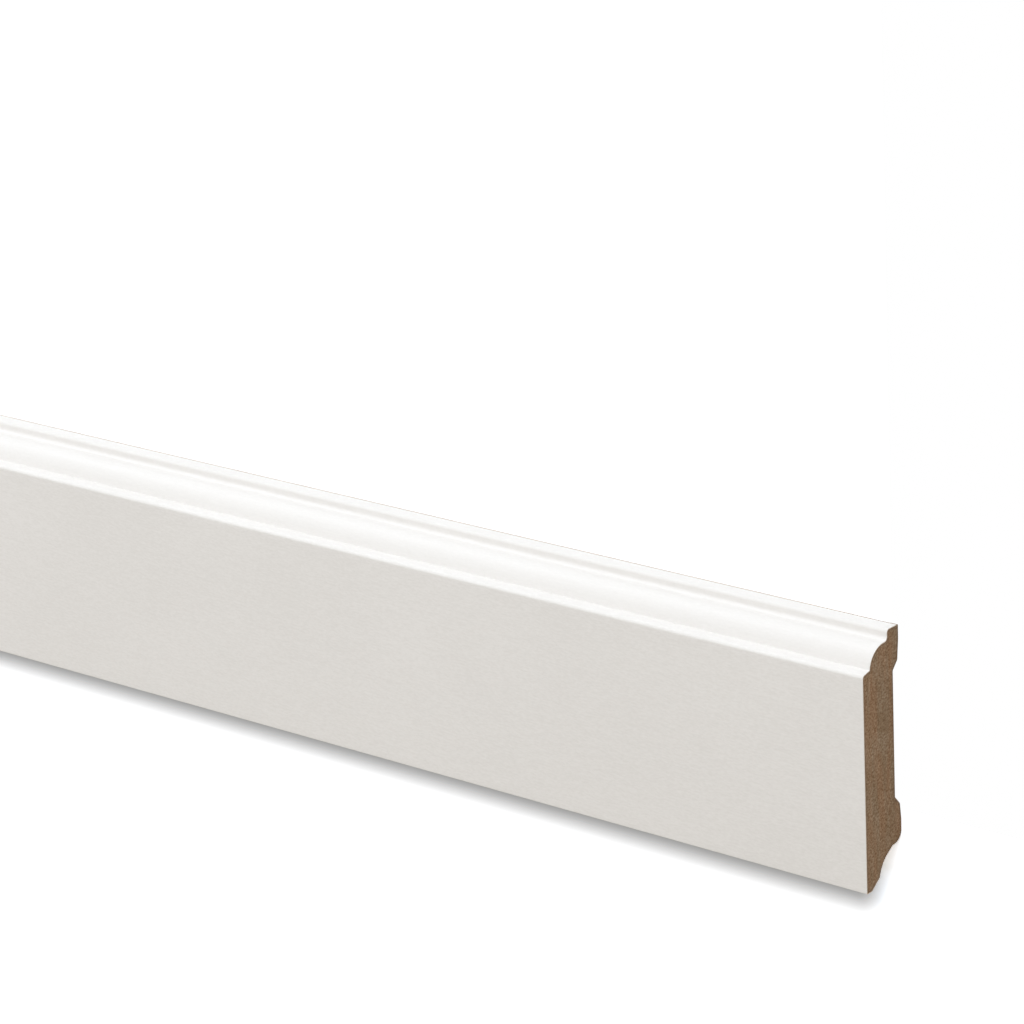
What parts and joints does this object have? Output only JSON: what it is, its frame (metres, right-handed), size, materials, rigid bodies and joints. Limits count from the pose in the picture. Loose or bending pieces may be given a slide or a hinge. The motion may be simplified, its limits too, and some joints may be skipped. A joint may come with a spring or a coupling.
{
  "type": "skirting board",
  "caption": "Length of white wrapped fibreboard skirting with a moulded top edge, a recessed back and an undercut foot.",
  "frame": {"origin": "middle of the underside as it lies: half way along the board and half way up its height, on the plane of the two back pads", "axes": "+X along the board, +Y towards the moulded top edge, +Z out of the front face"},
  "size_m": [2.4, 0.08, 0.018],
  "materials": {
    "white_foil": "satin white paper foil, faintly embossed along the length",
    "fibreboard": "bare medium-density fibreboard, sawn ends and machined back"
  },
  "bodies": {
    "root": {"skirting_board": "white_foil"}
  },
  "joints": []
}
